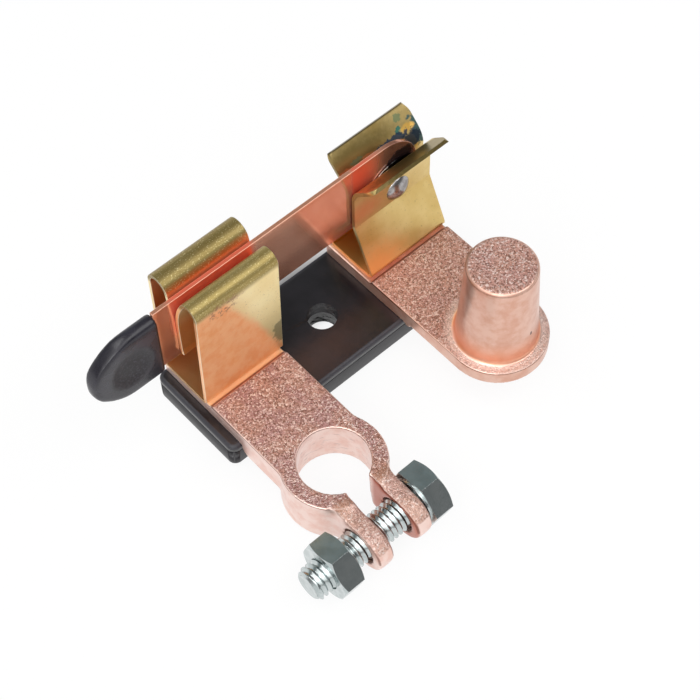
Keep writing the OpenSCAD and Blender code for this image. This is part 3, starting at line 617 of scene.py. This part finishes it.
# %% The blade
def polished_copper():
    paint = Paint("polished_copper")
    rubbed = paint.grain(3.0, 3, 0.6, paint.stretched(0.06, 1, 2.0))
    heat = paint.grain(0.08, 3, 0.6)
    tone = paint.blend(heat.between(0.3, 0.7), colour("ffc0a2"), colour("f4ae8c"))
    # Paler edges, a painted highlight
    tone = paint.blend(paint.mark("edge") * 0.6, tone, colour("f8bfa8"))
    along_x, up_z = paint.axis("X"), paint.axis("Z")
    in_jaw = along_x.between(-38, -35) * (1 - along_x.between(-15, -12.5))
    in_hinge = along_x.between(13.4, 15) * (1 - along_x.between(17, 25))
    # Red where the clips rub it, partly real rubbing and partly a painted reflection of the red glow
    # between the blade and the leaves
    red_rub_and_reflection = (in_jaw + in_hinge) * up_z.between(28, 35) * (1 - paint.mark("edge"))
    tone = paint.blend(red_rub_and_reflection * 0.6, tone, colour("ff3c12"))
    # Browner low down, a painted reflection of the dark base below
    tone = paint.blend((1 - up_z.between(27, 33)) * 0.55, tone, colour("a8705c"))
    tone = paint.blend(along_x.between(20, 27) * 0.55, tone, colour("7c4038"))
    # Darkest behind the hinge clip's front lip, which also dulls the metal there
    dark_patch = paint.spot((28.6, 4.8, 37.3), (4.8, 0.9, 2.5), 1.2)
    tone = paint.blend(dark_patch * 0.95, tone, colour("17131b"))
    metal = 0.78 - dark_patch * 0.5 - paint.mark("edge") * 0.3 - red_rub_and_reflection * 0.25
    # The second part of the height tips the faces by three degrees, which moves what they mirror
    return paint.done(Base_Color=tone, Metallic=metal, Roughness=0.1 + rubbed * 0.08,
                      Normal=paint.bump(rubbed * 0.004 + up_z * 0.05, 1.0))


add_piece(rounded(welded("knife_blade"), 0.12, sharp=50), "copper_blade", "blade",
          polished_copper(), "knife_blade")

# %% [markdown]
# ## The dipped grip
# The grip is vinyl that was dipped on to the blade's end, so it has no edge anywhere and a long
# shallow hollow for the thumb. It is made as the castings are, with a wider net and more passes,
# and then the hollow is pressed in by moving points along Y.

# %% The grip
grip_low, grip_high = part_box("handle_grip")
thumb = (grip_low + grip_high) / 2 + Vector((1.0 * MM, 0, 0))
# The hollow's half-lengths, and how deep it is at its middle
HOLLOW_X, HOLLOW_Z, HOLLOW_DEPTH = 6.0 * MM, 6.2 * MM, 0.6 * MM


def dipped_vinyl():
    paint = Paint("dipped_vinyl")
    skin = paint.grain(1.6, 2, 0.5)
    wave = paint.grain(0.16, 2, 0.5)
    stipple = paint.grain(2.4, 2, 0.6)
    hollow = paint.spot(tuple(thumb / MM), (5.8, 30, 6.0), 0.3)
    tone = paint.blend(wave.between(0.35, 0.7), colour("1e1c24"), colour("2d2b34"))
    # The thumb hollow is painted darker, a painted shade in the recess, and stippled paler
    tone = paint.blend(hollow * 0.7, tone, colour("121015"))
    tone = paint.blend(hollow * stipple.between(0.52, 0.68) * 0.5, tone, colour("504e57"))
    return paint.done(Base_Color=tone, Roughness=0.21 + wave * 0.12 + hollow * 0.2,
                      Normal=paint.bump(skin * 0.2 + wave + hollow * stipple * 0.8, 0.07))


grip = cast("handle_grip", net_mm=0.35, passes=14)
for vert in grip.verts:
    across, along = (vert.co.x - thumb.x) / HOLLOW_X, (vert.co.z - thumb.z) / HOLLOW_Z
    depth = max(0, 1 - across ** 2 - along ** 2)
    side = math.copysign(1, vert.co.y - thumb.y)
    vert.co.y -= side * HOLLOW_DEPTH * (3 - 2 * depth) * depth ** 2
add_piece(grip, "dipped_grip", "blade", dipped_vinyl(), "handle_grip", weighted=False)

# %% [markdown]
# ## Zinc-plated steel
# The bolt, its nut and the rivets are plated steel: grey with a cold tint, and sharp enough to
# mirror the studio. Plating leaves a faint cloud, and the corners carry a painted highlight.

# %% The steel finishes
def plated_steel(name, light, deep, smooth, dark_patch=False):
    paint = Paint(name)
    cloud = paint.grain(0.35, 3, 0.6)
    fine = paint.grain(4.0, 2, 0.5)
    tone = paint.blend(cloud.between(0.3, 0.7), colour(light), colour(deep))
    # Rounded corners are painted paler, a painted highlight
    tone = paint.blend(paint.mark("edge") * 0.8, tone, colour("f8fafa"))
    if dark_patch:
        # Darker behind the hinge clip's front lip
        tone = paint.blend(paint.spot((28.9, 3.6, 34), (5.0, 4, 6), 1.2), tone, colour("201a20"))
    return paint.done(Base_Color=tone, Metallic=1.0, Roughness=smooth + cloud * 0.12,
                      Normal=paint.bump(fine, 0.004))


zinc = plated_steel("zinc_plate", "ced5d5", "b5bebe", 0.12)
bright = plated_steel("bright_rivet", "b4b2b2", "8c8684", 0.15)
satin = plated_steel("satin_washer", "c2c4c6", "a8abae", 0.2)
darkened = plated_steel("darkened_washer", "cfd1d2", "b4b7ba", 0.2, dark_patch=True)

# %% Rivets and washers keep their CAD form with softened rims
for node, slot, finish in (
        ("hinge_rivet", "rivet_steel", bright), ("spring_washer", "washer_steel", darkened),
        ("jaw_rivet", "rivet_steel", bright), ("jaw_rivet_washer", "washer_steel", satin),
        ("hinge_clip_rivet", "rivet_steel", bright), ("hinge_clip_rivet_washer", "washer_steel", satin)):
    radius = 0.04 if node == "spring_washer" else 0.12
    turned = rounded(welded(node, weld_mm=0.006), radius, sharp=50)
    add_piece(turned, "turned_" + node, "base", finish, node)

# %% [markdown]
# ## The bolt's thread
# An M8 thread climbs 1.25 mm in each turn. One pitch of its outline is drawn as a short line,
# and a spin that also moves along the axis sweeps it into the whole thread. Two cuts trim the
# ends, and points past the end cone are pulled in to it, which gives the run-out at the tip.
# The head keeps its CAD form: the copy is cut off under the head and the thread takes its place.

# %% Sweep the thread
PITCH, CREST_R, ROOT_R, TIP_R = 1.25 * MM, 4.0 * MM, 3.37 * MM, 3.07 * MM
SHANK, INTO_HEAD, TIP_SLOPE, STEPS, SPARE_TURNS = 30 * MM, 0.2 * MM, 1.1, 40, 3
bolt_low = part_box("clamp_bolt")[0]
head_low = bolt_low.x + SHANK
turns = math.ceil((head_low - bolt_low.x) / PITCH) + SPARE_TURNS
thread = bmesh.new()
# Where along one pitch, and how far from the axis
outline = ((0, ROOT_R), (0.1, ROOT_R), (0.44, CREST_R), (0.56, CREST_R), (0.9, ROOT_R), (1, ROOT_R))
points = [thread.verts.new((bolt_low.x - PITCH + along * PITCH, bolt_axis.y, bolt_axis.z + reach))
          for along, reach in outline]
lines = [thread.edges.new(pair) for pair in zip(points, points[1:])]
bmesh.ops.spin(thread, geom=points + lines, cent=bolt_axis, axis=(1, 0, 0),
               dvec=(PITCH / STEPS, 0, 0), angle=2 * math.pi * turns, steps=STEPS * turns,
               use_merge=False, use_duplicate=False)
bmesh.ops.remove_doubles(thread, verts=thread.verts, dist=0.002 * MM)
for cut, keep in ((bolt_low.x, -1), (head_low + INTO_HEAD, 1)):
    bmesh.ops.bisect_plane(thread, geom=thread.verts[:] + thread.edges[:] + thread.faces[:],
                           plane_co=(cut, 0, 0), plane_no=(keep, 0, 0), clear_outer=True)
    bmesh.ops.holes_fill(thread, edges=[e for e in thread.edges if e.is_boundary], sides=0)
for vert in thread.verts:
    arm = vert.co - Vector((vert.co.x, bolt_axis.y, bolt_axis.z))
    limit = TIP_R + (vert.co.x - bolt_low.x) * TIP_SLOPE
    if arm.length > limit:
        vert.co -= arm * (1 - limit / arm.length)
bmesh.ops.recalc_face_normals(thread, faces=thread.faces)
print("thread:", len(thread.faces), "faces,", turns, "turns")

# %% Put the head on the thread
head = welded("clamp_bolt")
bmesh.ops.bisect_plane(head, geom=head.verts[:] + head.edges[:] + head.faces[:],
                       plane_co=(head_low + SAME, 0, 0), plane_no=(-1, 0, 0), clear_outer=True)
bmesh.ops.holes_fill(head, edges=[e for e in head.edges if e.is_boundary], sides=0)
head = rounded(head, 0.2, segments=3, sharp=25)
bolt_mesh = bpy.data.meshes.new("thread_only")
thread.to_mesh(bolt_mesh)
thread.free()
head.from_mesh(bolt_mesh)
bpy.data.meshes.remove(bolt_mesh)
add_piece(head, "threaded_bolt", "bolt", zinc, "clamp_bolt")
add_piece(rounded(welded("clamp_nut"), 0.2, segments=3, sharp=25), "hexagon_nut", "nut",
          zinc, "clamp_nut")

# %% [markdown]
# ## The table and the light
# The switch rests on the bolt's lowest corner and on the back edge of its base, so the table is
# tilted by that small angle and touches both. The table is pale. For the camera and for mirrors it
# is mixed with a plain white glow, which makes the background white and still keeps the shadow.
# Behind the base, where the clips and the blade keep the light off, the table is shaded more.

# %% The table
hexagons = [frame["nodes"][node].data for node in ("clamp_bolt", "clamp_nut")]
lowest = min((vert.co for mesh in hexagons for vert in mesh.vertices), key=lambda co: co.z)
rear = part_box("base_plate")[1].y
tilt = math.atan2(-lowest.z, rear - lowest.y)
table = bmesh.new()
bmesh.ops.create_grid(table, x_segments=1, y_segments=1, size=1.5)
bmesh.ops.rotate(table, verts=table.verts, cent=(0, 0, 0), matrix=Matrix.Rotation(tilt, 3, "X"))
bmesh.ops.translate(table, verts=table.verts, vec=(0, rear, 0))
table_mesh = bpy.data.meshes.new("pale_table")
table.to_mesh(table_mesh)
table.free()
floor = bpy.data.objects.new("pale_table", table_mesh)
bpy.context.scene.collection.objects.link(floor)
WHITE = (1, 1, 1, 1)
paint = Paint("pale_table")
soft = paint.node("ShaderNodeBsdfDiffuse", {}, {"Color": (0.9, 0.9, 0.9, 1)})
glow = paint.node("ShaderNodeEmission", {}, {"Color": WHITE, "Strength": 1.0})
seen = paint.node("ShaderNodeLightPath", output="Is Camera Ray")
mirrored = paint.node("ShaderNodeLightPath", output="Is Glossy Ray")
through = paint.node("ShaderNodeLightPath", output="Is Transmission Ray")
behind_base = paint.spot((0, 13, -0.2), (31, 11, 8), ragged=0.0, core=0.0)
share = seen * (0.9 - behind_base * 0.8) + mirrored * 0.97 + through * 0.97
table_skin = paint.node("ShaderNodeMixShader", {}, {0: share, 1: soft, 2: glow})
shade = paint.node("ShaderNodeBsdfDiffuse", {}, {"Color": (0.12, 0.12, 0.13, 1)})
table_skin = paint.node("ShaderNodeMixShader", {}, {0: behind_base * 0.95, 1: table_skin, 2: shade})
paint.node("ShaderNodeOutputMaterial", {}, {"Surface": table_skin})
table_mesh.materials.append(paint.material)
print(f"table tilted {math.degrees(tilt):.2f} degrees")

# %% [markdown]
# ## Light
# Metal shows what is around it, so the room matters as much as the lamps. Low down it is white
# all round, like the sweep of a product studio, and above that it is grey, which draws the dark
# faces of the hexagons and the deep tones of the brass. One wide soft light hangs to the upper
# left, and a small one behind makes the spot on the grip. The wall behind is faintly teal above
# its white foot, which the upper faces of the bolt's head show.

# %% The room
room = Paint("studio", "worlds")
bpy.context.scene.world = room.material
toward = room.node("ShaderNodeTexCoord", output="Generated")
height = room.axis("Z", toward)


def light_at(direction, edge, core, strength, rest):
    """The room with a round light in a direction. Edge and core are cosines of its angles."""
    nearness = room.node("ShaderNodeVectorMath", {"operation": "DOT_PRODUCT"},
                         {0: toward, 1: direction}, output="Value")
    return room.blend(nearness.between(edge, core), rest, (strength, strength, strength, 1))


heights = ((0.0, 1.0), (0.06, 1.0), (0.17, 0.17), (0.5, 0.18), (1.0, 0.22))
grey = room.node("ShaderNodeValToRGB",
                 {"stops": [(place, (shade, shade, shade, 1)) for place, shade in heights]}, {0: height})
behind = room.axis("Y", toward).between(0.45, 0.85)
walls = room.blend(behind * 0.5, grey, (0.3, 0.42, 0.43, 1))
walls = room.blend(behind * (1 - height.between(0.3, 0.52)), walls, WHITE)
lit = light_at((-0.52, -0.3, 0.8), 0.62, 0.88, 1.7, walls)
lit = light_at((-0.24, 0.41, 0.88), 0.984, 0.992, 4.4, lit)
camera_ray = room.node("ShaderNodeLightPath", output="Is Camera Ray")
sky = room.node("ShaderNodeBackground", {}, {"Color": room.blend(camera_ray, lit, WHITE)})
room.node("ShaderNodeOutputWorld", {}, {"Surface": sky})
print("room:", len(room.tree.nodes), "nodes")

# %% Two soft boxes for the rims, the folds and the shadow
AIM = Vector((0, -0.01, 0.02))
for name, place, size, watts in (("left_bank", (-0.6, -0.33, 0.72), 0.35, 1.2),
                                 ("front_bank", (0.32, -0.38, 0.76), 0.6, 2.4)):
    lamp = bpy.data.lights.new(name, "AREA")
    lamp.shape, lamp.size, lamp.energy = "SQUARE", size, watts
    box = bpy.data.objects.new(name, lamp)
    bpy.context.scene.collection.objects.link(box)
    box.location = place
    box.rotation_euler = (AIM - Vector(place)).to_track_quat("-Z", "Y").to_euler()
    print(f"{name}: {watts} W over {size} m")

# %% Finish with the Standard view transform
bpy.context.scene.view_settings.view_transform = "Standard"
